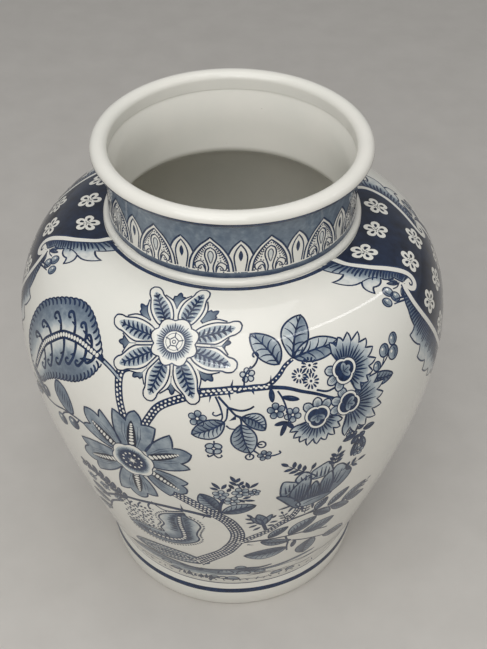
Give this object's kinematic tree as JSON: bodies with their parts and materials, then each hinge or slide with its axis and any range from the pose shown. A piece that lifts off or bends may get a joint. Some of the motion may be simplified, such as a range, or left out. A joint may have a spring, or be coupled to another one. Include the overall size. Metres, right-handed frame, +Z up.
{
  "type": "ginger jar",
  "caption": "Wide-shouldered porcelain jar with a short neck, rolled lip and raised foot ring, painted in blue on white; open, no lid.",
  "frame": {"origin": "centre of the foot ring's resting plane", "axes": "+Z up along the jar's axis, out of the mouth; the painted front faces -Y"},
  "size_m": [0.27, 0.27, 0.331],
  "materials": {
    "white_glaze": "clear gloss glaze over white porcelain",
    "blue_wash_glaze": "cobalt blue painted under clear gloss glaze"
  },
  "bodies": {
    "root": {"foot_ring": "white_glaze", "base_disc": "white_glaze", "lower_body": "white_glaze", "upper_body": "white_glaze", "neck_bead": "white_glaze", "neck": "blue_wash_glaze", "lip": "white_glaze"}
  },
  "joints": []
}
